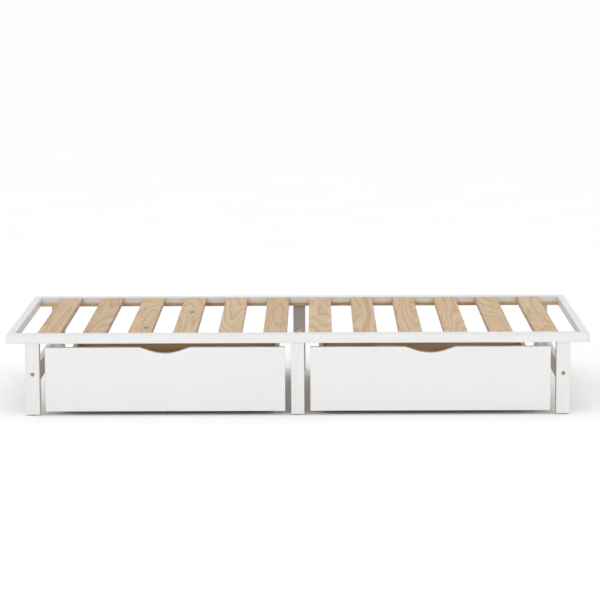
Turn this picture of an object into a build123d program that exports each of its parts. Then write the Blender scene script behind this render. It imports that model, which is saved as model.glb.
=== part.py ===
from build123d import *
import os

# Low single bed with a slatted platform on six legs, and two drawers that roll on castors.
# X runs along the bed, -Y is the side that the drawers open to, Z = 0 is the floor.
# The origin is on the floor, under the middle of the platform. All sizes are in millimetres.

os.makedirs("parts", exist_ok=True)

# Platform
PLATFORM_LENGTH = 2030
PLATFORM_WIDTH = 940
PLATFORM_TOP = 285
RAIL_HEIGHT = 30
SIDE_RAIL_DEPTH = 50
END_RAIL_THICKNESS = 28
CORNER_RADIUS = 9
EDGE_RADIUS = 3
LEDGE_DEPTH = 20
LEDGE_HEIGHT = 12
SLAT_COUNT = 12
SLAT_WIDTH = 82
SLAT_END_GAP = 1

# Base
LEG_WIDTH = 48
CENTRE_LEG_WIDTH = 46
LEG_DEPTH = 44
LEG_SETBACK = 5
LEG_INSET = 67
LEG_EDGE_RADIUS = 2.5
LEG_FOOT_CHAMFER = 1.5
CROSS_RAIL_THICKNESS = 20
CROSS_RAIL_HEIGHT = 66
CROSS_RAIL_BOTTOM = 97
JOINT_MARGIN = 17
GLIDE_RADIUS = 17
GLIDE_HEIGHT = 3

# Fasteners
BOLT_RADIUS = 3
BOLT_LENGTH = 80
BOLT_HEAD_RADIUS = 6.5
BOLT_HEAD_HEIGHT = 2.5
BOLT_HEAD_RECESS = 4
BOLT_HEAD_CLEARANCE = 0.5
HEX_KEY = 4
HEX_DEPTH = 3
NUT_RADIUS = 5
NUT_LENGTH = 16
NUT_SLOT_LENGTH = 7
NUT_SLOT_WIDTH = 1.2
NUT_SLOT_DEPTH = 1.5
NUT_TO_TIP = 8
BOLT_TIP_GAP = 2
DOWEL_RADIUS = 4
DOWEL_LENGTH = 40
DRAWER_DOWEL_LENGTH = 30
DRAWER_DOWEL_DEPTH = 11
DOWEL_END_GAP = 0.5
SCREW_RADIUS = 2
SCREW_HEAD_RADIUS = 4
SCREW_TIP_RATIO = 1.5
CROSS_SPAN = 1.15
CROSS_WIDTH = 0.26
CROSS_DEPTH = 0.45
SLAT_SCREW_LENGTH = 28
LEDGE_SCREW_LENGTH = 40
BOTTOM_SCREW_LENGTH = 35
SIDE_SCREW_Y = (-400, -160, 80, 300)
LEG_SCREW_RADIUS = 3
LEG_SCREW_HEAD_RADIUS = 6
LEG_SCREW_LENGTH = 90
LEG_SCREW_SHIFT_X = 10
LEG_SCREW_OFFSET_Y = 12
CORNER_DOWEL_OFFSET_Y = 16
FIT = 0.05

# Drawers
DRAWER_CENTRE_X = 462
FRONT_WIDTH = 836
FRONT_BOTTOM = 15
FRONT_TOP = 240
FRONT_THICKNESS = 18
FRONT_SETBACK = 6
FRONT_EDGE_RADIUS = 1.5
CUTOUT_WIDTH = 175
CUTOUT_DEPTH = 21.5
CUTOUT_BEND_X = 51
CUTOUT_BEND_DEPTH = 13
CUTOUT_RISE = 5
BOX_WIDTH = 774
BOX_BACK_Y = 346
BOX_SIDE_THICKNESS = 15
BOX_BOTTOM = 45
BOTTOM_THICKNESS = 10
BOX_TOP = 133
BOX_EDGE_RADIUS = 1.5

# Castors
WHEEL_RADIUS = 19
WHEEL_WIDTH = 16
TREAD_RADIUS = 2
RIM_RADIUS = 14
HUB_RADIUS = 6
WHEEL_RECESS = 2
AXLE_RADIUS = 2.5
AXLE_HEAD_RADIUS = 4
AXLE_HEAD_HEIGHT = 1.5
PLATE_LENGTH = 60
PLATE_WIDTH = 40
PLATE_CORNER_RADIUS = 4
STEEL_THICKNESS = 2
CHEEK_GAP = 17
CHEEK_RADIUS = 8
CHEEK_TOP_WIDTH = 40
CASTOR_X = 340
CASTOR_FRONT_Y = -340
CASTOR_BACK_Y = 280
CASTOR_SCREW_DEPTH = 9
CASTOR_SCREW_HEAD_RADIUS = 3.5
CASTOR_SCREW_HEAD_HEIGHT = 2
CASTOR_SCREW_X = 15
CASTOR_SCREW_Y = 24

# Worked out from the sizes above
HALF_LENGTH = PLATFORM_LENGTH / 2
HALF_WIDTH = PLATFORM_WIDTH / 2
RAIL_BOTTOM = PLATFORM_TOP - RAIL_HEIGHT
RAIL_MIDDLE = PLATFORM_TOP - RAIL_HEIGHT / 2
RAIL_HALF_LENGTH = HALF_LENGTH - END_RAIL_THICKNESS
RAIL_CENTRE_Y = HALF_WIDTH - SIDE_RAIL_DEPTH / 2
RAIL_INNER_Y = HALF_WIDTH - SIDE_RAIL_DEPTH
SLAT_THICKNESS = RAIL_HEIGHT - LEDGE_HEIGHT
SLAT_LENGTH = 2 * (RAIL_INNER_Y - SLAT_END_GAP)
SLAT_GAP = (2 * RAIL_HALF_LENGTH - SLAT_COUNT * SLAT_WIDTH) / (SLAT_COUNT + 1)
SLAT_PITCH = SLAT_WIDTH + SLAT_GAP
FIRST_SLAT_X = -RAIL_HALF_LENGTH + SLAT_GAP + SLAT_WIDTH / 2
LEDGE_CENTRE_Y = RAIL_INNER_Y - LEDGE_DEPTH / 2
LEG_OUTER_X = HALF_LENGTH - LEG_INSET
LEG_X = LEG_OUTER_X - LEG_WIDTH / 2
LEG_OUTER_Y = HALF_WIDTH - LEG_SETBACK
LEG_Y = LEG_OUTER_Y - LEG_DEPTH / 2
LEG_INNER_Y = LEG_OUTER_Y - LEG_DEPTH
CORNER_BOLT_DEPTH = BOLT_LENGTH + BOLT_HEAD_RECESS - END_RAIL_THICKNESS + BOLT_TIP_GAP
LEG_BOLT_DEPTH = BOLT_LENGTH + BOLT_HEAD_RECESS - LEG_DEPTH + BOLT_TIP_GAP
CORNER_NUT_X = HALF_LENGTH - BOLT_HEAD_RECESS - BOLT_LENGTH + NUT_TO_TIP
LEG_NUT_Y = LEG_OUTER_Y - BOLT_HEAD_RECESS - BOLT_LENGTH + NUT_TO_TIP
CROSS_RAIL_TOP = CROSS_RAIL_BOTTOM + CROSS_RAIL_HEIGHT
UPPER_JOINT_Z = CROSS_RAIL_TOP - JOINT_MARGIN
LOWER_JOINT_Z = CROSS_RAIL_BOTTOM + JOINT_MARGIN
FRONT_FACE_Y = -HALF_WIDTH + FRONT_SETBACK
FRONT_BACK_Y = FRONT_FACE_Y + FRONT_THICKNESS
BOX_HALF_WIDTH = BOX_WIDTH / 2
SIDE_BOTTOM = BOX_BOTTOM + BOTTOM_THICKNESS
SIDE_BACK_Y = BOX_BACK_Y - BOX_SIDE_THICKNESS
SIDE_CENTRE_X = BOX_HALF_WIDTH - BOX_SIDE_THICKNESS / 2
DRAWER_DOWEL_Z = (SIDE_BOTTOM + 20, BOX_TOP - 20)
PLATE_BOTTOM = BOX_BOTTOM - STEEL_THICKNESS

SIDES = {"front": -1, "back": 1}
ENDS = {"left": -1, "right": 1}
LEGS_X = {"left": -LEG_X, "centre": 0, "right": LEG_X}
LEG_WIDTHS = {"left": LEG_WIDTH, "centre": CENTRE_LEG_WIDTH, "right": LEG_WIDTH}
DRAWERS_X = {"left": -DRAWER_CENTRE_X, "right": DRAWER_CENTRE_X}
SLATS_X = [FIRST_SLAT_X + index * SLAT_PITCH for index in range(SLAT_COUNT)]
LEDGE_SCREWS_X = [FIRST_SLAT_X + (index + 0.5) * SLAT_PITCH for index in range(0, SLAT_COUNT - 1, 2)]


def facing_x(x, y, z, direction):
    """Plane at a point whose normal runs along X, one way or the other."""
    return Plane(origin=(x, y, z), x_dir=(0, 1, 0), z_dir=(direction, 0, 0))


def facing_y(x, y, z, direction):
    """Plane at a point whose normal runs along Y, one way or the other."""
    return Plane(origin=(x, y, z), x_dir=(1, 0, 0), z_dir=(0, direction, 0))


def finish(piece, node):
    """Name a finished piece and write it as one STEP file."""
    piece.part.label = node
    export_step(piece.part, f"parts/{node}.step")


def leg_screw_points(side):
    """Places of the six screws on one side that go down through the side rail into the legs."""
    points = []
    for x in LEGS_X.values():
        inboard_x = x - LEG_SCREW_SHIFT_X * ((x > 0) - (x < 0))
        points.append((inboard_x, side * LEG_Y - LEG_SCREW_OFFSET_Y, PLATFORM_TOP))
        points.append((inboard_x, side * LEG_Y + LEG_SCREW_OFFSET_Y, PLATFORM_TOP))
    return points


def corner_dowel_planes(side, end, direction):
    """Planes of the two dowels between an end rail and a side rail, where the rails meet."""
    y = side * RAIL_CENTRE_Y
    return [
        facing_x(end * RAIL_HALF_LENGTH, y + offset, RAIL_MIDDLE, direction)
        for offset in (-CORNER_DOWEL_OFFSET_Y, CORNER_DOWEL_OFFSET_Y)
    ]


def leg_dowel_planes(side, end_name, direction):
    """Planes of the dowels between a leg and its cross rail. The centre joint has no bolt."""
    heights = [LOWER_JOINT_Z, UPPER_JOINT_Z] if end_name == "centre" else [LOWER_JOINT_Z]
    return [facing_y(LEGS_X[end_name], side * LEG_INNER_Y, z, direction) for z in heights]


def ledge_screw_planes(side):
    """Planes of the screws that hold a ledge, on the inner face of the ledge."""
    y = side * (RAIL_INNER_Y - LEDGE_DEPTH)
    return [facing_y(x, y, RAIL_BOTTOM + LEDGE_HEIGHT / 2, -side) for x in LEDGE_SCREWS_X]


def drawer_dowel_planes(centre_x, y, direction):
    """Planes of the four dowels between the two sides of a drawer and a panel across them."""
    return [
        facing_y(centre_x + end * SIDE_CENTRE_X, y, z, direction)
        for end in ENDS.values()
        for z in DRAWER_DOWEL_Z
    ]


def castor_centres(centre_x):
    """Places of the four castors of a drawer, in plan."""
    return [
        (centre_x + end * CASTOR_X, y) for end in ENDS.values() for y in (CASTOR_FRONT_Y, CASTOR_BACK_Y)
    ]


def castor_screw_points(centre_x):
    """Places of the sixteen screws that hold the castor plates to the bottom panel."""
    return [
        (x + step_x * CASTOR_SCREW_X, y + step_y * CASTOR_SCREW_Y)
        for x, y in castor_centres(centre_x)
        for step_x in (-1, 1)
        for step_y in (-1, 1)
    ]


def side_screw_points(centre_x):
    """Places of the eight screws that go up through the bottom panel into the sides."""
    return [(centre_x + end * SIDE_CENTRE_X, y) for end in ENDS.values() for y in SIDE_SCREW_Y]


def screw_profile(radius, head_radius, length):
    """Half profile of a countersunk screw that points along -Y of its sketch."""
    tip = SCREW_TIP_RATIO * radius
    Polyline(
        (0, 0),
        (head_radius, 0),
        (radius, -(head_radius - radius)),
        (radius, -(length - tip)),
        (0, -length),
        close=True,
    )


def cross_recesses(planes, head_radius):
    """Crosses to cut out of screw heads, sunk from the face of each head, where the planes lie."""
    arm = CROSS_SPAN * head_radius
    width = CROSS_WIDTH * head_radius
    with BuildPart() as crosses:
        for plane in planes:
            with BuildSketch(plane):
                Rectangle(arm, width)
                Rectangle(width, arm)
            extrude(amount=-CROSS_DEPTH * head_radius)
    return crosses.part


# ---------------------------------------------------------------- platform


def make_side_rail(side_name):
    """Long rail with a bolt hole, a nut hole and two dowel holes at each end."""
    side = SIDES[side_name]
    rail_y = side * RAIL_CENTRE_Y
    with BuildPart() as rail:
        with BuildSketch(Plane.XY.offset(RAIL_BOTTOM)):
            with Locations((0, rail_y)):
                Rectangle(2 * RAIL_HALF_LENGTH, SIDE_RAIL_DEPTH)
        extrude(amount=RAIL_HEIGHT)
        outer_edges = rail.edges().filter_by(Axis.X).group_by(Axis.Y)[0 if side < 0 else -1]
        fillet(outer_edges, radius=EDGE_RADIUS)
        for end in ENDS.values():
            with Locations(facing_x(end * RAIL_HALF_LENGTH, rail_y, RAIL_MIDDLE, end)):
                Hole(BOLT_RADIUS + FIT, CORNER_BOLT_DEPTH)
            with Locations(*corner_dowel_planes(side, end, end)):
                Hole(DOWEL_RADIUS + FIT, DOWEL_LENGTH / 2)
            with Locations(Plane((end * CORNER_NUT_X, rail_y, RAIL_BOTTOM), z_dir=(0, 0, -1))):
                Hole(NUT_RADIUS + FIT, RAIL_HEIGHT / 2 + NUT_LENGTH / 2)
        with Locations(*leg_screw_points(side)):
            CounterSinkHole(LEG_SCREW_RADIUS + FIT, LEG_SCREW_HEAD_RADIUS + FIT, counter_sink_angle=90)
        with Locations(*ledge_screw_planes(side)):
            Hole(SCREW_RADIUS + FIT, LEDGE_SCREW_LENGTH)
    finish(rail, f"{side_name}_rail")


def make_end_rail(end_name):
    """Rail that caps the ends of both side rails, rounded at its two outer corners."""
    end = ENDS[end_name]
    with BuildPart() as rail:
        with BuildSketch(Plane.XY.offset(RAIL_BOTTOM)):
            with Locations((end * (HALF_LENGTH - END_RAIL_THICKNESS / 2), 0)):
                Rectangle(END_RAIL_THICKNESS, PLATFORM_WIDTH)
        extrude(amount=RAIL_HEIGHT)
        upright_edges = rail.edges().filter_by(Axis.Z)
        fillet(upright_edges.filter_by(lambda edge: end * edge.center().X > HALF_LENGTH - 1), CORNER_RADIUS)
        flat_faces = rail.faces().filter_by(Axis.Z)
        inner_x = RAIL_HALF_LENGTH + 1
        fillet(flat_faces.edges().filter_by(lambda edge: end * edge.center().X > inner_x), EDGE_RADIUS)
        for side in SIDES.values():
            with Locations(facing_x(end * HALF_LENGTH, side * RAIL_CENTRE_Y, RAIL_MIDDLE, end)):
                CounterBoreHole(BOLT_RADIUS + FIT, BOLT_HEAD_RADIUS + BOLT_HEAD_CLEARANCE, BOLT_HEAD_RECESS)
            with Locations(*corner_dowel_planes(side, end, -end)):
                Hole(DOWEL_RADIUS + FIT, DOWEL_LENGTH / 2)
    finish(rail, f"{end_name}_end_rail")


def make_slat_ledge(side_name):
    """Batten inside a side rail that carries the slat ends."""
    side = SIDES[side_name]
    with BuildPart() as ledge:
        with BuildSketch(Plane.XY.offset(RAIL_BOTTOM)):
            with Locations((0, side * LEDGE_CENTRE_Y)):
                Rectangle(2 * RAIL_HALF_LENGTH, LEDGE_DEPTH)
        extrude(amount=LEDGE_HEIGHT)
        with Locations(*[(x, side * LEDGE_CENTRE_Y, RAIL_BOTTOM + LEDGE_HEIGHT) for x in SLATS_X]):
            Hole(SCREW_RADIUS + FIT, SLAT_SCREW_LENGTH - SLAT_THICKNESS)
        with Locations(*ledge_screw_planes(side)):
            CounterSinkHole(SCREW_RADIUS + FIT, SCREW_HEAD_RADIUS + FIT, counter_sink_angle=90)
    finish(ledge, f"{side_name}_ledge")


def make_slat(number, x):
    """One slat, flush with the top of the rails, with a screw at each end."""
    with BuildPart() as slat:
        with BuildSketch(Plane.XY.offset(RAIL_BOTTOM + LEDGE_HEIGHT)):
            with Locations((x, 0)):
                Rectangle(SLAT_WIDTH, SLAT_LENGTH)
        extrude(amount=SLAT_THICKNESS)
        fillet(slat.faces().sort_by(Axis.Z)[-1].edges().filter_by(Axis.Y), EDGE_RADIUS)
        with Locations((x, -LEDGE_CENTRE_Y, PLATFORM_TOP), (x, LEDGE_CENTRE_Y, PLATFORM_TOP)):
            CounterSinkHole(SCREW_RADIUS + FIT, SCREW_HEAD_RADIUS + FIT, counter_sink_angle=90)
    finish(slat, f"slat_{number:02d}")


# ---------------------------------------------------------------- base


def make_leg(side_name, end_name):
    """Square leg with holes for its cross rail's bolt and dowels and for the screws in its top."""
    side = SIDES[side_name]
    x = LEGS_X[end_name]
    with BuildPart() as leg:
        with BuildSketch(Plane.XY.offset(GLIDE_HEIGHT)):
            with Locations((x, side * LEG_Y)):
                Rectangle(LEG_WIDTHS[end_name], LEG_DEPTH)
        extrude(amount=RAIL_BOTTOM - GLIDE_HEIGHT)
        fillet(leg.edges().filter_by(Axis.Z), LEG_EDGE_RADIUS)
        chamfer(leg.faces().sort_by(Axis.Z)[0].edges(), LEG_FOOT_CHAMFER)
        with Locations(*leg_dowel_planes(side, end_name, -side)):
            Hole(DOWEL_RADIUS + FIT, DOWEL_LENGTH / 2)
        if end_name != "centre":
            with Locations(facing_y(x, side * LEG_OUTER_Y, UPPER_JOINT_Z, side)):
                CounterBoreHole(BOLT_RADIUS + FIT, BOLT_HEAD_RADIUS + BOLT_HEAD_CLEARANCE, BOLT_HEAD_RECESS)
        near = [point for point in leg_screw_points(side) if abs(point[0] - x) < LEG_WIDTH / 2]
        with Locations(*near):
            Hole(LEG_SCREW_RADIUS + FIT, LEG_SCREW_LENGTH)
    finish(leg, f"{side_name}_{end_name}_leg")


def make_cross_rail(end_name):
    """Rail between the front leg and the back leg of one trestle."""
    x = LEGS_X[end_name]
    with BuildPart() as rail:
        with BuildSketch(Plane.XY.offset(CROSS_RAIL_BOTTOM)):
            with Locations((x, 0)):
                Rectangle(CROSS_RAIL_THICKNESS, 2 * LEG_INNER_Y)
        extrude(amount=CROSS_RAIL_HEIGHT)
        fillet(rail.edges().filter_by(Axis.Y), EDGE_RADIUS)
        for side in SIDES.values():
            with Locations(*leg_dowel_planes(side, end_name, side)):
                Hole(DOWEL_RADIUS + FIT, DOWEL_LENGTH / 2)
            if end_name != "centre":
                with Locations(facing_y(x, side * LEG_INNER_Y, UPPER_JOINT_Z, side)):
                    Hole(BOLT_RADIUS + FIT, LEG_BOLT_DEPTH)
                with Locations(facing_x(x, side * LEG_NUT_Y, UPPER_JOINT_Z, 1)):
                    Hole(NUT_RADIUS + FIT)
    finish(rail, f"{end_name}_cross_rail")


def make_leg_glides():
    """Felt discs under the six legs."""
    with BuildPart() as glides:
        with BuildSketch(Plane.XY):
            with Locations(*[(x, side * LEG_Y) for x in LEGS_X.values() for side in SIDES.values()]):
                Circle(GLIDE_RADIUS)
        extrude(amount=GLIDE_HEIGHT)
    finish(glides, "leg_glides")


# ---------------------------------------------------------------- fasteners


def connector_bolt_planes():
    """Planes under the heads of the eight bolts, normal outwards: four in the legs, four in the corners."""
    corner_x = HALF_LENGTH - BOLT_HEAD_RECESS
    leg_y = LEG_OUTER_Y - BOLT_HEAD_RECESS
    planes = []
    for end in ENDS.values():
        for side in SIDES.values():
            planes.append(facing_y(end * LEG_X, side * leg_y, UPPER_JOINT_Z, side))
            planes.append(facing_x(end * corner_x, side * RAIL_CENTRE_Y, RAIL_MIDDLE, end))
    return planes


def make_connector_bolts():
    """Flat headed bolts with a hexagon socket."""
    with BuildPart() as bolts:
        for plane in connector_bolt_planes():
            with BuildSketch(plane):
                Circle(BOLT_HEAD_RADIUS)
            head = extrude(amount=BOLT_HEAD_HEIGHT)
            with BuildSketch(plane):
                Circle(BOLT_RADIUS)
            extrude(amount=-BOLT_LENGTH)
            circles = head.edges().filter_by(GeomType.CIRCLE)
            rim = circles.sort_by(lambda edge: plane.to_local_coords(edge.center()).Z)[-1]
            fillet(rim, BOLT_HEAD_HEIGHT / 2)
            with BuildSketch(plane.offset(BOLT_HEAD_HEIGHT)):
                RegularPolygon(HEX_KEY / 2, 6, major_radius=False)
            extrude(amount=-HEX_DEPTH, mode=Mode.SUBTRACT)
    finish(bolts, "connector_bolts")


def make_barrel_nuts():
    """Cross nuts that the connector bolts pass through."""
    nut_planes = []
    for end in ENDS.values():
        for side in SIDES.values():
            nut_planes.append(facing_x(end * LEG_X, side * LEG_NUT_Y, UPPER_JOINT_Z, 1))
            nut_planes.append(Plane((end * CORNER_NUT_X, side * RAIL_CENTRE_Y, RAIL_MIDDLE)))
    with BuildPart() as nuts:
        for plane in nut_planes:
            with BuildSketch(plane.offset(-NUT_LENGTH / 2)):
                Circle(NUT_RADIUS)
            extrude(amount=NUT_LENGTH)
            with BuildSketch(plane.offset(-NUT_LENGTH / 2)):
                Rectangle(NUT_SLOT_LENGTH, NUT_SLOT_WIDTH)
            extrude(amount=NUT_SLOT_DEPTH, mode=Mode.SUBTRACT)
        for plane in connector_bolt_planes():
            with BuildSketch(plane):
                Circle(BOLT_RADIUS + FIT)
            extrude(amount=-BOLT_LENGTH, mode=Mode.SUBTRACT)
    finish(nuts, "barrel_nuts")


def make_frame_dowels():
    """Wooden dowels in the platform corners and in the ends of the cross rails."""
    planes = []
    for side in SIDES.values():
        for end in ENDS.values():
            planes += corner_dowel_planes(side, end, end)
        for end_name in LEGS_X:
            planes += leg_dowel_planes(side, end_name, side)
    with BuildPart() as dowels:
        for plane in planes:
            with BuildSketch(plane):
                Circle(DOWEL_RADIUS)
            extrude(amount=DOWEL_LENGTH / 2 - DOWEL_END_GAP, both=True)
    finish(dowels, "frame_dowels")


def make_leg_screws():
    """Long screws that hold the platform down on the legs."""
    points = leg_screw_points(-1) + leg_screw_points(1)
    recesses = cross_recesses([Plane(point) for point in points], LEG_SCREW_HEAD_RADIUS)
    with BuildPart() as screws:
        for x, y, z in points:
            with BuildSketch(Plane((x, y, z), x_dir=(1, 0, 0), z_dir=(0, -1, 0))):
                with BuildLine():
                    screw_profile(LEG_SCREW_RADIUS, LEG_SCREW_HEAD_RADIUS, LEG_SCREW_LENGTH)
                make_face()
            revolve(axis=Axis((x, y, 0), (0, 0, 1)))
        add(recesses, mode=Mode.SUBTRACT)
    finish(screws, "leg_screws")


def make_wood_screws():
    """Screws through the slats into the ledges, and through the ledges into the side rails."""
    heads = ledge_screw_planes(-1) + ledge_screw_planes(1)
    heads += [Plane((x, side * LEDGE_CENTRE_Y, PLATFORM_TOP)) for x in SLATS_X for side in SIDES.values()]
    recesses = cross_recesses(heads, SCREW_HEAD_RADIUS)
    with BuildPart() as screws:
        for side in SIDES.values():
            y = side * LEDGE_CENTRE_Y
            for x in SLATS_X:
                with BuildSketch(Plane((x, y, PLATFORM_TOP), x_dir=(1, 0, 0), z_dir=(0, -1, 0))):
                    with BuildLine():
                        screw_profile(SCREW_RADIUS, SCREW_HEAD_RADIUS, SLAT_SCREW_LENGTH)
                    make_face()
                revolve(axis=Axis((x, y, 0), (0, 0, 1)))
            for plane in ledge_screw_planes(side):
                with BuildSketch(Plane(plane.origin, x_dir=(1, 0, 0), z_dir=(0, 0, -side))):
                    with BuildLine():
                        screw_profile(SCREW_RADIUS, SCREW_HEAD_RADIUS, LEDGE_SCREW_LENGTH)
                    make_face()
                revolve(axis=Axis(plane.origin, (0, 1, 0)))
        add(recesses, mode=Mode.SUBTRACT)
    finish(screws, "wood_screws")


# ---------------------------------------------------------------- drawers


def make_drawer_front(node, centre_x):
    """Front panel with a shallow cut-out in its top edge to pull it by."""
    with BuildPart() as front:
        with BuildSketch(Plane.XY.offset(FRONT_BOTTOM)):
            with Locations((centre_x, (FRONT_FACE_Y + FRONT_BACK_Y) / 2)):
                Rectangle(FRONT_WIDTH, FRONT_THICKNESS)
        extrude(amount=FRONT_TOP - FRONT_BOTTOM)
        fillet(front.edges().filter_by(Axis.Z), FRONT_EDGE_RADIUS)
        with BuildSketch(facing_y(centre_x, FRONT_FACE_Y, FRONT_TOP, -1)):
            with BuildLine():
                Line((-CUTOUT_BEND_X, -CUTOUT_BEND_DEPTH), (-CUTOUT_WIDTH / 2, 0))
                Line((-CUTOUT_WIDTH / 2, 0), (-CUTOUT_WIDTH / 2, CUTOUT_RISE))
                Line((-CUTOUT_WIDTH / 2, CUTOUT_RISE), (CUTOUT_WIDTH / 2, CUTOUT_RISE))
                Line((CUTOUT_WIDTH / 2, CUTOUT_RISE), (CUTOUT_WIDTH / 2, 0))
                Line((CUTOUT_WIDTH / 2, 0), (CUTOUT_BEND_X, -CUTOUT_BEND_DEPTH))
                ThreePointArc(
                    (CUTOUT_BEND_X, -CUTOUT_BEND_DEPTH),
                    (0, -CUTOUT_DEPTH),
                    (-CUTOUT_BEND_X, -CUTOUT_BEND_DEPTH),
                )
            make_face()
        extrude(amount=-FRONT_THICKNESS, mode=Mode.SUBTRACT)
        with Locations(*drawer_dowel_planes(centre_x, FRONT_BACK_Y, 1)):
            Hole(DOWEL_RADIUS + FIT, DRAWER_DOWEL_DEPTH)
    finish(front, f"{node}_front")


def make_drawer_side(node, centre_x, end_name):
    """Side of the drawer box, with dowel holes in its ends and screw holes in its lower edge."""
    x = centre_x + ENDS[end_name] * SIDE_CENTRE_X
    with BuildPart() as side:
        with BuildSketch(Plane.XY.offset(SIDE_BOTTOM)):
            with Locations((x, (FRONT_BACK_Y + SIDE_BACK_Y) / 2)):
                Rectangle(BOX_SIDE_THICKNESS, SIDE_BACK_Y - FRONT_BACK_Y)
        extrude(amount=BOX_TOP - SIDE_BOTTOM)
        fillet(side.faces().sort_by(Axis.Z)[-1].edges().filter_by(Axis.Y), BOX_EDGE_RADIUS)
        for z in DRAWER_DOWEL_Z:
            with Locations(facing_y(x, FRONT_BACK_Y, z, -1), facing_y(x, SIDE_BACK_Y, z, 1)):
                Hole(DOWEL_RADIUS + FIT, DRAWER_DOWEL_LENGTH - DRAWER_DOWEL_DEPTH)
        with Locations(*[Plane((x, y, SIDE_BOTTOM), z_dir=(0, 0, -1)) for y in SIDE_SCREW_Y]):
            Hole(SCREW_RADIUS + FIT, BOTTOM_SCREW_LENGTH)
    finish(side, f"{node}_{end_name}_side")


def make_drawer_back(node, centre_x):
    """Back of the drawer box, across the ends of both sides."""
    with BuildPart() as back:
        with BuildSketch(Plane.XY.offset(SIDE_BOTTOM)):
            with Locations((centre_x, (SIDE_BACK_Y + BOX_BACK_Y) / 2)):
                Rectangle(BOX_WIDTH, BOX_SIDE_THICKNESS)
        extrude(amount=BOX_TOP - SIDE_BOTTOM)
        fillet(back.faces().sort_by(Axis.Z)[-1].edges().filter_by(Axis.X), BOX_EDGE_RADIUS)
        with Locations(*drawer_dowel_planes(centre_x, SIDE_BACK_Y, -1)):
            Hole(DOWEL_RADIUS + FIT, DRAWER_DOWEL_DEPTH)
    finish(back, f"{node}_back")


def make_drawer_bottom(node, centre_x):
    """Bottom panel under the box, drilled for the screws into the sides and for the castors."""
    with BuildPart() as bottom:
        with BuildSketch(Plane.XY.offset(BOX_BOTTOM)):
            with Locations((centre_x, (FRONT_BACK_Y + BOX_BACK_Y) / 2)):
                Rectangle(BOX_WIDTH, BOX_BACK_Y - FRONT_BACK_Y)
        extrude(amount=BOTTOM_THICKNESS)
        under = [Plane((x, y, BOX_BOTTOM), z_dir=(0, 0, -1)) for x, y in side_screw_points(centre_x)]
        with Locations(*under):
            CounterSinkHole(SCREW_RADIUS + FIT, SCREW_HEAD_RADIUS + FIT, counter_sink_angle=90)
        under = [Plane((x, y, BOX_BOTTOM), z_dir=(0, 0, -1)) for x, y in castor_screw_points(centre_x)]
        with Locations(*under):
            Hole(SCREW_RADIUS + FIT, CASTOR_SCREW_DEPTH)
    finish(bottom, f"{node}_bottom")


def make_drawer_dowels(node, centre_x):
    """Dowels that join the sides to the front and to the back."""
    embedded = DRAWER_DOWEL_DEPTH - DOWEL_END_GAP
    planes = drawer_dowel_planes(centre_x, FRONT_BACK_Y - embedded, 1)
    planes += drawer_dowel_planes(centre_x, SIDE_BACK_Y + embedded, -1)
    with BuildPart() as dowels:
        for plane in planes:
            with BuildSketch(plane):
                Circle(DOWEL_RADIUS)
            extrude(amount=DRAWER_DOWEL_LENGTH - 2 * DOWEL_END_GAP)
    finish(dowels, f"{node}_dowels")


def make_drawer_screws(node, centre_x):
    """Countersunk screws under the sides, and short round headed screws under the castor plates."""
    head_z = PLATE_BOTTOM - CASTOR_SCREW_HEAD_HEIGHT
    side_heads = [Plane((x, y, BOX_BOTTOM), z_dir=(0, 0, -1)) for x, y in side_screw_points(centre_x)]
    castor_heads = [Plane((x, y, head_z), z_dir=(0, 0, -1)) for x, y in castor_screw_points(centre_x)]
    side_recesses = cross_recesses(side_heads, SCREW_HEAD_RADIUS)
    castor_recesses = cross_recesses(castor_heads, CASTOR_SCREW_HEAD_RADIUS)
    with BuildPart() as screws:
        for x, y in side_screw_points(centre_x):
            with BuildSketch(Plane((x, y, BOX_BOTTOM), x_dir=(1, 0, 0), z_dir=(0, 1, 0))):
                with BuildLine():
                    screw_profile(SCREW_RADIUS, SCREW_HEAD_RADIUS, BOTTOM_SCREW_LENGTH)
                make_face()
            revolve(axis=Axis((x, y, 0), (0, 0, 1)))
        with BuildSketch(Plane.XY.offset(PLATE_BOTTOM)):
            with Locations(*castor_screw_points(centre_x)):
                Circle(SCREW_RADIUS)
        extrude(amount=STEEL_THICKNESS + CASTOR_SCREW_DEPTH - DOWEL_END_GAP)
        with BuildSketch(Plane.XY.offset(PLATE_BOTTOM)):
            with Locations(*castor_screw_points(centre_x)):
                Circle(CASTOR_SCREW_HEAD_RADIUS)
        heads = extrude(amount=-CASTOR_SCREW_HEAD_HEIGHT)
        fillet(heads.faces().group_by(Axis.Z)[0].edges(), CASTOR_SCREW_HEAD_HEIGHT / 2)
        add(side_recesses, mode=Mode.SUBTRACT)
        add(castor_recesses, mode=Mode.SUBTRACT)
    finish(screws, f"{node}_screws")


# ---------------------------------------------------------------- castors


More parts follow.
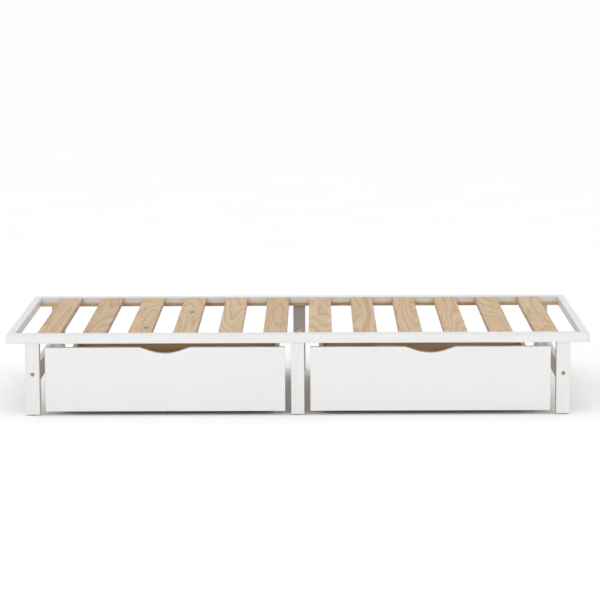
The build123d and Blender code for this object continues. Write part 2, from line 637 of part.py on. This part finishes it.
def make_castor_brackets(node, centre_x):
    """Four pressed steel brackets, each a plate with two cheeks that carry the axle."""
    cheek_height = PLATE_BOTTOM - WHEEL_RADIUS
    with BuildPart() as brackets:
        with BuildSketch(Plane.XY.offset(PLATE_BOTTOM)):
            with Locations(*castor_centres(centre_x)):
                RectangleRounded(PLATE_WIDTH, PLATE_LENGTH, PLATE_CORNER_RADIUS)
            with Locations(*castor_screw_points(centre_x)):
                Circle(SCREW_RADIUS + FIT, mode=Mode.SUBTRACT)
        extrude(amount=STEEL_THICKNESS)
        for x, y in castor_centres(centre_x):
            for side in (-1, 1):
                inner_x = x + side * CHEEK_GAP / 2
                with BuildSketch(facing_x(inner_x, y, WHEEL_RADIUS, side)) as cheek:
                    top_y = side * cheek_height
                    with BuildLine():
                        Polyline(
                            (-CHEEK_RADIUS, 0),
                            (-CHEEK_TOP_WIDTH / 2, top_y),
                            (CHEEK_TOP_WIDTH / 2, top_y),
                            (CHEEK_RADIUS, 0),
                        )
                        ThreePointArc((CHEEK_RADIUS, 0), (0, -side * CHEEK_RADIUS), (-CHEEK_RADIUS, 0))
                    make_face()
                    Circle(AXLE_RADIUS, mode=Mode.SUBTRACT)
                extrude(amount=STEEL_THICKNESS)
    finish(brackets, f"{node}_castor_brackets")


def make_castor_axles(node, centre_x):
    """Riveted pins through the cheeks of the four castors."""
    half_span = CHEEK_GAP / 2 + STEEL_THICKNESS
    with BuildPart() as axles:
        for x, y in castor_centres(centre_x):
            with BuildSketch(facing_x(x, y, WHEEL_RADIUS, 1)):
                Circle(AXLE_RADIUS)
            extrude(amount=half_span, both=True)
            for side in (-1, 1):
                with BuildSketch(facing_x(x + side * half_span, y, WHEEL_RADIUS, side)):
                    Circle(AXLE_HEAD_RADIUS)
                extrude(amount=AXLE_HEAD_HEIGHT)
    finish(axles, f"{node}_castor_axles")


def make_castor_wheel(node, x, y):
    """Plastic wheel with a rounded tread, a recess in each face and a hub around the bore."""
    half_width = WHEEL_WIDTH / 2
    tread_edge = WHEEL_RADIUS - TREAD_RADIUS
    flat_end = half_width - TREAD_RADIUS
    with BuildPart() as wheel:
        with BuildSketch(Plane((x, y, WHEEL_RADIUS), x_dir=(1, 0, 0), z_dir=(0, -1, 0))):
            with BuildLine():
                Polyline(
                    (-half_width, AXLE_RADIUS + FIT),
                    (half_width, AXLE_RADIUS + FIT),
                    (half_width, HUB_RADIUS),
                    (half_width - WHEEL_RECESS, HUB_RADIUS),
                    (half_width - WHEEL_RECESS, RIM_RADIUS),
                    (half_width, RIM_RADIUS),
                    (half_width, tread_edge),
                )
                RadiusArc((half_width, tread_edge), (flat_end, WHEEL_RADIUS), -TREAD_RADIUS)
                Line((flat_end, WHEEL_RADIUS), (-flat_end, WHEEL_RADIUS))
                RadiusArc((-flat_end, WHEEL_RADIUS), (-half_width, tread_edge), -TREAD_RADIUS)
                Polyline(
                    (-half_width, tread_edge),
                    (-half_width, RIM_RADIUS),
                    (WHEEL_RECESS - half_width, RIM_RADIUS),
                    (WHEEL_RECESS - half_width, HUB_RADIUS),
                    (-half_width, HUB_RADIUS),
                    (-half_width, AXLE_RADIUS + FIT),
                )
            make_face()
        revolve(axis=Axis((x, y, WHEEL_RADIUS), (1, 0, 0)))
    finish(wheel, node)


def make_drawer(end_name):
    """All pieces of one drawer."""
    node = f"{end_name}_drawer"
    centre_x = DRAWERS_X[end_name]
    make_drawer_front(node, centre_x)
    make_drawer_side(node, centre_x, "left")
    make_drawer_side(node, centre_x, "right")
    make_drawer_back(node, centre_x)
    make_drawer_bottom(node, centre_x)
    make_drawer_dowels(node, centre_x)
    make_drawer_screws(node, centre_x)
    make_castor_brackets(node, centre_x)
    make_castor_axles(node, centre_x)
    for number, (x, y) in enumerate(castor_centres(centre_x), start=1):
        make_castor_wheel(f"{node}_wheel_{number}", x, y)


# ---------------------------------------------------------------- whole bed

for side_name in SIDES:
    make_side_rail(side_name)
    make_slat_ledge(side_name)
    for end_name in LEGS_X:
        make_leg(side_name, end_name)
for end_name in ENDS:
    make_end_rail(end_name)
for end_name in LEGS_X:
    make_cross_rail(end_name)
for number, x in enumerate(SLATS_X, start=1):
    make_slat(number, x)
make_leg_glides()
make_connector_bolts()
make_barrel_nuts()
make_frame_dowels()
make_leg_screws()
make_wood_screws()
for end_name in DRAWERS_X:
    make_drawer(end_name)
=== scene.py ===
"""Looks, light and camera for the low bed with two rolling drawers. All lengths are in metres."""

import math

import bpy
from mathutils import Matrix, Vector

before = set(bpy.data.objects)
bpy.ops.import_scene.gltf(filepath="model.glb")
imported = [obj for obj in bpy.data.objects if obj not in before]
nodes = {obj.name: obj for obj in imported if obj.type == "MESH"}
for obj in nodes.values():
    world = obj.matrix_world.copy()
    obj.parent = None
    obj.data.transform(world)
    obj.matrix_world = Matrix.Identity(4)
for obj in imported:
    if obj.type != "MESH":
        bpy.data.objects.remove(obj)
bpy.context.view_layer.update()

ENDS = ("left", "right")
SIDES = ("front", "back")
LEG_PLACES = ("left", "centre", "right")
SLATS = sorted(name for name in nodes if name.startswith("slat_"))

# Colours, as linear light
WHITE = (1.0, 1.0, 1.0)
BLACK = (0.0, 0.0, 0.0)
PINE = (0.66, 0.49, 0.315)
PINE_LATE = (0.50, 0.325, 0.170)
BOX_PINE = (0.62, 0.465, 0.31)
BOX_PINE_LATE = (0.48, 0.325, 0.190)
BOTTOM_PINE = (0.53, 0.375, 0.235)
BOTTOM_PINE_LATE = (0.42, 0.275, 0.155)
BEECH = (0.58, 0.40, 0.25)
BEECH_LATE = (0.50, 0.32, 0.18)
KNOT_HEART = (0.060, 0.030, 0.016)
KNOT_EDGE = (0.170, 0.085, 0.042)
FIBRE_TINT = (0.88, 0.855, 0.82)
STREAK_TINT = (0.90, 0.875, 0.84)
TONE_TINT = (0.93, 0.905, 0.87)
BOARD_TINT = (0.90, 0.875, 0.84)

# Noise scales of wood, in features per metre along the board and across it
RING_SCALE = (0.40, 5.0)
SWAY_SCALE = (1.6, 22.0)
KNOT_SCALE = (3.1, 7.5)
FIBRE_SCALE = (16.0, 950.0)
STREAK_SCALE = (2.0, 120.0)
TONE_SCALE = (1.5, 5.0)
PAINTED_GRAIN_SCALE = (5.0, 150.0)
PAINTED_PORE_SCALE = (30.0, 900.0)
ROLLER_SCALE = (90.0, 420.0)

# Growth rings and knots of bare wood
RING_WARP = 0.60
RING_SWAY = 0.030
KNOT_SWIRL = 0.075
KNOT_HALO = 0.55
BOARD_SHIFT = 7.0
WOOD_ROUGHNESS = (0.44, 0.62)
WOOD_SPECULAR = 0.42
PAINT_IOR = 1.5

# Light: the strength of the surroundings from below to overhead, and two softboxes
HORIZON_LIGHT = 0.66
ZENITH_LIGHT = 1.26
KEY_PLACE = (-2.6, -6.5, 2.6)
KEY_POWER = 70.0
FILL_PLACE = (2.6, -7.0, 1.6)
FILL_POWER = 40.0
SOFTBOX_SIZE = 3.0
LIGHT_TARGET = (0.0, 0.0, 0.15)
FLOOR_HALF = 120.0

# Camera, with its angles in degrees
CAMERA_PLACE = (0.0686, -9.0194, 1.6746)
CAMERA_TURN = 0.3985
CAMERA_DOWN = 8.4374
CAMERA_ROLL = -0.2497
LENS = 149.756
SENSOR_WIDTH = 36.0


# ---------------------------------------------------------------- node helpers


def new_material(name):
    """A new material with its shader, and the coordinates of the object's own frame."""
    material = bpy.data.materials.new(name)
    material.use_nodes = True
    tree = material.node_tree
    shader = tree.nodes["Principled BSDF"]
    coordinates = tree.nodes.new("ShaderNodeTexCoord")
    return material, tree, shader, coordinates.outputs["Object"]


def stretched(tree, vector, axis, scales):
    """Coordinates scaled by the first scale along a board and by the second across it."""
    along, across = scales
    mapping = tree.nodes.new("ShaderNodeMapping")
    scale = [across, across, across]
    scale["xyz".index(axis)] = along
    mapping.inputs["Scale"].default_value = scale
    tree.links.new(vector, mapping.inputs["Vector"])
    return mapping.outputs["Vector"]


def noise(tree, vector, scale, detail=4.0, roughness=0.5, distortion=0.0):
    """Value of a noise texture."""
    node = tree.nodes.new("ShaderNodeTexNoise")
    node.inputs["Scale"].default_value = scale
    node.inputs["Detail"].default_value = detail
    node.inputs["Roughness"].default_value = roughness
    node.inputs["Distortion"].default_value = distortion
    tree.links.new(vector, node.inputs["Vector"])
    return node.outputs["Fac"]


def cells(tree, vector, scale=1.0):
    """Outputs of Voronoi cells with scattered centres."""
    node = tree.nodes.new("ShaderNodeTexVoronoi")
    node.inputs["Scale"].default_value = scale
    tree.links.new(vector, node.inputs["Vector"])
    return node.outputs


def ramp(tree, value, *stops):
    """Colour ramp from a value, with stops as (position, colour)."""
    node = tree.nodes.new("ShaderNodeValToRGB")
    elements = node.color_ramp.elements
    while len(elements) < len(stops):
        elements.new(0.5)
    for element, (position, colour) in zip(elements, stops):
        element.position = position
        element.color = (*colour, 1.0)
    tree.links.new(value, node.inputs["Fac"])
    return node.outputs["Color"]


def blended(tree, factor, first, second):
    """The first colour where the factor is nought, the second where it is one."""
    node = tree.nodes.new("ShaderNodeMix")
    node.data_type = "RGBA"
    tree.links.new(factor, node.inputs["Factor"])
    tree.links.new(first, node.inputs["A"])
    tree.links.new(second, node.inputs["B"])
    return node.outputs["Result"]


def multiplied(tree, colour, *layers):
    """A colour multiplied by each layer in turn."""
    for layer in layers:
        node = tree.nodes.new("ShaderNodeMix")
        node.data_type = "RGBA"
        node.blend_type = "MULTIPLY"
        node.inputs["Factor"].default_value = 1.0
        tree.links.new(colour, node.inputs["A"])
        tree.links.new(layer, node.inputs["B"])
        colour = node.outputs["Result"]
    return colour


def combine(tree, operation, *values):
    """Math node on values that are each a number or a socket."""
    node = tree.nodes.new("ShaderNodeMath")
    node.operation = operation
    for socket, value in zip(node.inputs, values):
        if isinstance(value, (int, float)):
            socket.default_value = value
        else:
            tree.links.new(value, socket)
    return node.outputs["Value"]


def spread(tree, value, low, high):
    """Map 0..1 to low..high."""
    node = tree.nodes.new("ShaderNodeMapRange")
    node.inputs["To Min"].default_value = low
    node.inputs["To Max"].default_value = high
    tree.links.new(value, node.inputs["Value"])
    return node.outputs["Result"]


def falloff(tree, value, near, far):
    """One up to the near value, falling smoothly to nought at the far value."""
    node = tree.nodes.new("ShaderNodeMapRange")
    node.interpolation_type = "SMOOTHSTEP"
    node.inputs["From Min"].default_value = near
    node.inputs["From Max"].default_value = far
    node.inputs["To Min"].default_value = 1.0
    node.inputs["To Max"].default_value = 0.0
    tree.links.new(value, node.inputs["Value"])
    return node.outputs["Result"]


def bump(tree, height, strength, distance, normal=None):
    """Bump from a height value, on top of another bump if one is given."""
    node = tree.nodes.new("ShaderNodeBump")
    node.inputs["Strength"].default_value = strength
    node.inputs["Distance"].default_value = distance
    tree.links.new(height, node.inputs["Height"])
    if normal is not None:
        tree.links.new(normal, node.inputs["Normal"])
    return node.outputs["Normal"]


def grey(level, warmth=0.0):
    """A grey with its blue lower by the warmth, and its green by less."""
    return (level, level - 0.4 * warmth, level - warmth)


# ---------------------------------------------------------------- painted wood


def painted_wood(axis):
    """White satin paint over solid wood: the grain below shows through as faint ridges along the board."""
    material, tree, shader, place = new_material(f"white_painted_wood_{axis}")
    grain_place = stretched(tree, place, axis, PAINTED_GRAIN_SCALE)
    grain = noise(tree, grain_place, 1.0, detail=5.0, roughness=0.6, distortion=0.5)
    pores = noise(tree, stretched(tree, place, axis, PAINTED_PORE_SCALE), 1.0, detail=3.0)
    cloud = noise(tree, place, 2.5, detail=3.0)
    peel = noise(tree, place, 420.0, detail=2.0)
    grain_colour = ramp(tree, grain, (0.30, grey(0.688, 0.008)), (0.62, grey(0.736, 0.004)))
    cloud_colour = ramp(tree, cloud, (0.3, grey(0.980, 0.002)), (0.7, WHITE))
    tree.links.new(multiplied(tree, grain_colour, cloud_colour), shader.inputs["Base Color"])
    tree.links.new(spread(tree, pores, 0.36, 0.50), shader.inputs["Roughness"])
    normal = bump(tree, grain, 0.18, 0.0006)
    normal = bump(tree, pores, 0.12, 0.0003, normal)
    normal = bump(tree, peel, 0.10, 0.0002, normal)
    tree.links.new(normal, shader.inputs["Normal"])
    shader.inputs["IOR"].default_value = PAINT_IOR
    shader.inputs["Coat Weight"].default_value = 0.10
    shader.inputs["Coat Roughness"].default_value = 0.30
    return material


def painted_panel():
    """The same white paint on a smooth panel: no grain, only the fine stipple left by the roller."""
    material, tree, shader, place = new_material("white_painted_panel")
    cloud = noise(tree, place, 3.0)
    stipple = noise(tree, place, 520.0, detail=3.0, roughness=0.6)
    strokes = noise(tree, stretched(tree, place, "x", ROLLER_SCALE), 1.0, detail=2.0)
    cloud_colour = ramp(tree, cloud, (0.3, grey(0.722, 0.003)), (0.7, grey(0.742, 0.002)))
    stipple_colour = ramp(tree, stipple, (0.3, grey(0.985)), (0.7, WHITE))
    tree.links.new(multiplied(tree, cloud_colour, stipple_colour), shader.inputs["Base Color"])
    tree.links.new(spread(tree, cloud, 0.34, 0.44), shader.inputs["Roughness"])
    normal = bump(tree, stipple, 0.16, 0.00025)
    normal = bump(tree, strokes, 0.08, 0.00025, normal)
    tree.links.new(normal, shader.inputs["Normal"])
    shader.inputs["IOR"].default_value = PAINT_IOR
    shader.inputs["Coat Weight"].default_value = 0.12
    shader.inputs["Coat Roughness"].default_value = 0.26
    return material


# ---------------------------------------------------------------- bare wood


def board_place(tree, place, chance):
    """Coordinates moved by a board's own random value, so that no two boards show the same grain."""
    shift = tree.nodes.new("ShaderNodeCombineXYZ")
    distance = combine(tree, "MULTIPLY", chance, BOARD_SHIFT)
    for socket in shift.inputs:
        tree.links.new(distance, socket)
    moved = tree.nodes.new("ShaderNodeVectorMath")
    moved.operation = "ADD"
    tree.links.new(place, moved.inputs[0])
    tree.links.new(shift.outputs["Vector"], moved.inputs[1])
    return moved.outputs["Vector"]


def growth_rings(tree, grain_place, axis, sway, knot_distance, rings, knots):
    """A value that rises from nought to one across each growth ring.

    The rings are the contours of a field drawn out along the board, so faces show long arches, and they
    bend round the knots."""
    warp = noise(tree, stretched(tree, grain_place, axis, RING_SCALE), 1.0, detail=2.0, roughness=0.35)
    swirl = falloff(tree, knot_distance, 0.02, 0.34)
    warped = combine(tree, "MULTIPLY", warp, RING_WARP)
    swayed = combine(tree, "MULTIPLY", sway, RING_SWAY)
    swirled = combine(tree, "MULTIPLY", swirl, KNOT_SWIRL * knots)
    field = combine(tree, "SUBTRACT", combine(tree, "ADD", warped, swayed), swirled)
    return combine(tree, "FRACT", combine(tree, "MULTIPLY", field, rings))


def board_colour(tree, grain_place, axis, ring, fibre, chance, early, late):
    """Pale early wood that darkens towards the late wood of each ring, under streaks, fibres and tone."""
    between = tuple(0.5 * (a + b) for a, b in zip(early, late))
    stops = ((0.0, early), (0.45, early), (0.80, between), (0.93, late), (1.0, early))
    streak = noise(tree, stretched(tree, grain_place, axis, STREAK_SCALE), 1.0, roughness=0.6)
    tone = noise(tree, stretched(tree, grain_place, axis, TONE_SCALE), 1.0, detail=2.0)
    return multiplied(
        tree,
        ramp(tree, ring, *stops),
        ramp(tree, streak, (0.30, STREAK_TINT), (0.62, WHITE)),
        ramp(tree, fibre, (0.25, FIBRE_TINT), (0.70, WHITE)),
        ramp(tree, tone, (0.3, TONE_TINT), (0.7, WHITE)),
        ramp(tree, chance, (0.0, BOARD_TINT), (1.0, WHITE)),
    )


def with_knots(tree, colour, knot_place, knot_distance, sway, fibre, late, share):
    """A ragged dark knot with a browner halo in the given share of the knot cells."""
    parts = tree.nodes.new("ShaderNodeSeparateColor")
    tree.links.new(cells(tree, knot_place)["Color"], parts.inputs["Color"])
    chosen = combine(tree, "LESS_THAN", parts.outputs["Red"], share)
    ragged = combine(tree, "ADD", knot_distance, spread(tree, sway, -0.030, 0.030))
    halo = combine(tree, "MULTIPLY", ramp(tree, ragged, (0.06, WHITE), (0.17, BLACK)), KNOT_HALO)
    core = ramp(tree, ragged, (0.045, WHITE), (0.075, BLACK))
    halo_colour = ramp(tree, fibre, (0.3, tuple(0.70 * part for part in late)), (0.7, late))
    core_colour = ramp(tree, ragged, (0.0, KNOT_HEART), (0.06, KNOT_EDGE))
    colour = blended(tree, combine(tree, "MULTIPLY", halo, chosen), colour, halo_colour)
    return blended(tree, combine(tree, "MULTIPLY", core, chosen), colour, core_colour)


def bare_wood(name, axis, early, late, rings=46.0, knots=0.0):
    """Planed wood with its grain along an axis: growth rings, fine fibres, and a few knots if any."""
    material, tree, shader, place = new_material(name)
    chance = tree.nodes.new("ShaderNodeObjectInfo").outputs["Random"]
    grain_place = board_place(tree, place, chance)
    sway = noise(tree, stretched(tree, grain_place, axis, SWAY_SCALE), 1.0, detail=3.0)
    fibre = noise(tree, stretched(tree, grain_place, axis, FIBRE_SCALE), 1.0, roughness=0.7)
    knot_place = stretched(tree, grain_place, axis, KNOT_SCALE)
    knot_distance = cells(tree, knot_place)["Distance"]
    ring = growth_rings(tree, grain_place, axis, sway, knot_distance, rings, knots)
    colour = board_colour(tree, grain_place, axis, ring, fibre, chance, early, late)
    if knots > 0.0:
        colour = with_knots(tree, colour, knot_place, knot_distance, sway, fibre, late, knots)
    tree.links.new(colour, shader.inputs["Base Color"])
    tree.links.new(spread(tree, fibre, *WOOD_ROUGHNESS), shader.inputs["Roughness"])
    normal = bump(tree, ring, 0.10, 0.0003)
    normal = bump(tree, fibre, 0.30, 0.0003, normal)
    tree.links.new(normal, shader.inputs["Normal"])
    shader.inputs["Specular IOR Level"].default_value = WOOD_SPECULAR
    return material


# ---------------------------------------------------------------- metal, plastic and felt


def yellow_zinc():
    """Yellow passivated steel: dull olive brass with a slow drift of colour and fine tool marks."""
    material, tree, shader, place = new_material("yellow_zinc")
    drift = noise(tree, place, 260.0, detail=2.0)
    marks = noise(tree, place, 2600.0, detail=2.0)
    stops = ((0.25, (0.26, 0.23, 0.05)), (0.5, (0.40, 0.34, 0.09)), (0.75, (0.36, 0.30, 0.14)))
    tree.links.new(ramp(tree, drift, *stops), shader.inputs["Base Color"])
    tree.links.new(spread(tree, marks, 0.20, 0.38), shader.inputs["Roughness"])
    tree.links.new(bump(tree, marks, 0.15, 0.00005), shader.inputs["Normal"])
    shader.inputs["Metallic"].default_value = 1.0
    return material


def bright_zinc():
    """Zinc plated steel: cool grey with a soft mottled spangle."""
    material, tree, shader, place = new_material("bright_zinc")
    spangle = cells(tree, place, 420.0)["Distance"]
    scuff = noise(tree, place, 900.0)
    colour = ramp(tree, spangle, (0.0, (0.56, 0.57, 0.59)), (0.8, (0.72, 0.73, 0.75)))
    tree.links.new(colour, shader.inputs["Base Color"])
    tree.links.new(spread(tree, scuff, 0.24, 0.46), shader.inputs["Roughness"])
    tree.links.new(bump(tree, scuff, 0.12, 0.00006), shader.inputs["Normal"])
    shader.inputs["Metallic"].default_value = 1.0
    return material


def moulded_plastic():
    """Dark grey moulded castor wheel with a fine grain and cloudy dust."""
    material, tree, shader, place = new_material("castor_plastic")
    grain = noise(tree, place, 1800.0, detail=3.0)
    dust = noise(tree, place, 90.0)
    colour = ramp(tree, dust, (0.35, (0.030, 0.031, 0.034)), (0.75, (0.060, 0.060, 0.062)))
    tree.links.new(colour, shader.inputs["Base Color"])
    tree.links.new(spread(tree, grain, 0.40, 0.62), shader.inputs["Roughness"])
    tree.links.new(bump(tree, grain, 0.25, 0.00008), shader.inputs["Normal"])
    return material


def felt():
    """Pressed felt: tangled grey brown fibres."""
    material, tree, shader, place = new_material("felt")
    fibre = noise(tree, place, 1500.0, detail=6.0, roughness=0.8, distortion=2.0)
    colour = ramp(tree, fibre, (0.3, (0.15, 0.13, 0.115)), (0.7, (0.34, 0.31, 0.28)))
    tree.links.new(colour, shader.inputs["Base Color"])
    tree.links.new(bump(tree, fibre, 0.6, 0.0004), shader.inputs["Normal"])
    shader.inputs["Roughness"].default_value = 0.95
    shader.inputs["Sheen Weight"].default_value = 0.3
    return material


# ---------------------------------------------------------------- materials on the pieces


def cover(node_name, material):
    """Give a CAD node its material."""
    slots = nodes[node_name].data.materials
    slots.clear()
    slots.append(material)


def cover_frame():
    """Materials of the platform and the base. Each board's grain runs along its length."""
    painted = {axis: painted_wood(axis) for axis in "xyz"}
    ledge_wood = bare_wood("ledge_wood", "x", PINE, PINE_LATE, rings=40.0)
    for side in SIDES:
        cover(f"{side}_rail", painted["x"])
        cover(f"{side}_ledge", ledge_wood)
        for place in LEG_PLACES:
            cover(f"{side}_{place}_leg", painted["z"])
    for end in ENDS:
        cover(f"{end}_end_rail", painted["y"])
    for place in LEG_PLACES:
        cover(f"{place}_cross_rail", painted["y"])
    slat_wood = bare_wood("slat_wood", "y", PINE, PINE_LATE, knots=0.55)
    for name in SLATS:
        cover(name, slat_wood)


def cover_drawers():
    """Materials of the two drawers: white fronts, bare wood boxes."""
    panel = painted_panel()
    side_wood = bare_wood("drawer_side_wood", "y", BOX_PINE, BOX_PINE_LATE, knots=0.35)
    back_wood = bare_wood("drawer_back_wood", "x", BOX_PINE, BOX_PINE_LATE, knots=0.35)
    bottom_wood = bare_wood(
        "drawer_bottom_wood", "y", BOTTOM_PINE, BOTTOM_PINE_LATE, rings=32.0, knots=0.30
    )
    for end in ENDS:
        drawer = f"{end}_drawer"
        cover(f"{drawer}_front", panel)
        cover(f"{drawer}_left_side", side_wood)
        cover(f"{drawer}_right_side", side_wood)
        cover(f"{drawer}_back", back_wood)
        cover(f"{drawer}_bottom", bottom_wood)


def cover_hardware():
    """Materials of the bolts, screws, dowels, castors and glides."""
    yellow = yellow_zinc()
    zinc = bright_zinc()
    plastic = moulded_plastic()
    beech = bare_wood("beech", "y", BEECH, BEECH_LATE, rings=60.0)
    cover("connector_bolts", yellow)
    cover("barrel_nuts", yellow)
    cover("leg_screws", zinc)
    cover("wood_screws", zinc)
    cover("frame_dowels", beech)
    cover("leg_glides", felt())
    for end in ENDS:
        drawer = f"{end}_drawer"
        cover(f"{drawer}_dowels", beech)
        for part in ("screws", "castor_brackets", "castor_axles"):
            cover(f"{drawer}_{part}", zinc)
        for name in nodes:
            if name.startswith(f"{drawer}_wheel"):
                cover(name, plastic)


# ---------------------------------------------------------------- studio


def studio_floor():
    """Plain pale floor that reaches past the view on every side."""
    low, high = -FLOOR_HALF, FLOOR_HALF
    corners = [(low, low, 0.0), (high, low, 0.0), (high, high, 0.0), (low, high, 0.0)]
    mesh = bpy.data.meshes.new("floor")
    mesh.from_pydata(corners, [], [(0, 1, 2, 3)])
    floor = bpy.data.objects.new("floor", mesh)
    bpy.context.scene.collection.objects.link(floor)
    material, tree, shader, place = new_material("studio_floor")
    speck = noise(tree, place, 2.0, detail=2.0)
    colour = ramp(tree, speck, (0.3, grey(0.925)), (0.7, grey(0.94)))
    tree.links.new(colour, shader.inputs["Base Color"])
    shader.inputs["Roughness"].default_value = 0.85
    mesh.materials.append(material)


def softbox(name, place, power):
    """A large square softbox that points at the bed."""
    data = bpy.data.lights.new(name, "AREA")
    data.shape = "SQUARE"
    data.size = SOFTBOX_SIZE
    data.energy = power
    light = bpy.data.objects.new(name, data)
    light.location = place
    direction = Vector(LIGHT_TARGET) - Vector(place)
    light.rotation_euler = direction.to_track_quat("-Z", "Y").to_euler()
    bpy.context.scene.collection.objects.link(light)


def studio_light():
    """White surroundings that light the bed more from above, and two softboxes in front of it."""
    world = bpy.data.worlds.new("studio")
    bpy.context.scene.world = world
    world.use_nodes = True
    tree = world.node_tree
    background = tree.nodes["Background"]
    direction = tree.nodes.new("ShaderNodeTexCoord").outputs["Generated"]
    parts = tree.nodes.new("ShaderNodeSeparateXYZ")
    tree.links.new(direction, parts.inputs["Vector"])
    graded = spread(tree, parts.outputs["Z"], HORIZON_LIGHT, ZENITH_LIGHT)
    seen = tree.nodes.new("ShaderNodeLightPath").outputs["Is Camera Ray"]
    tree.links.new(combine(tree, "MAXIMUM", graded, seen), background.inputs["Strength"])
    background.inputs["Color"].default_value = (*WHITE, 1.0)
    softbox("key", KEY_PLACE, KEY_POWER)
    softbox("fill", FILL_PLACE, FILL_POWER)


def studio_camera():
    """Long lens at standing eye height, almost square on to the drawer fronts."""
    data = bpy.data.cameras.new("camera")
    data.sensor_width = SENSOR_WIDTH
    data.lens = LENS
    camera = bpy.data.objects.new("camera", data)
    turn = Matrix.Rotation(math.radians(CAMERA_TURN), 4, "Z")
    tilt = Matrix.Rotation(math.radians(90.0 - CAMERA_DOWN), 4, "X")
    roll = Matrix.Rotation(math.radians(CAMERA_ROLL), 4, "Z")
    camera.matrix_world = Matrix.Translation(CAMERA_PLACE) @ turn @ tilt @ roll
    bpy.context.scene.collection.objects.link(camera)
    bpy.context.scene.camera = camera


cover_frame()
cover_drawers()
cover_hardware()
studio_floor()
studio_light()
studio_camera()
bpy.context.scene.view_settings.view_transform = "Standard"
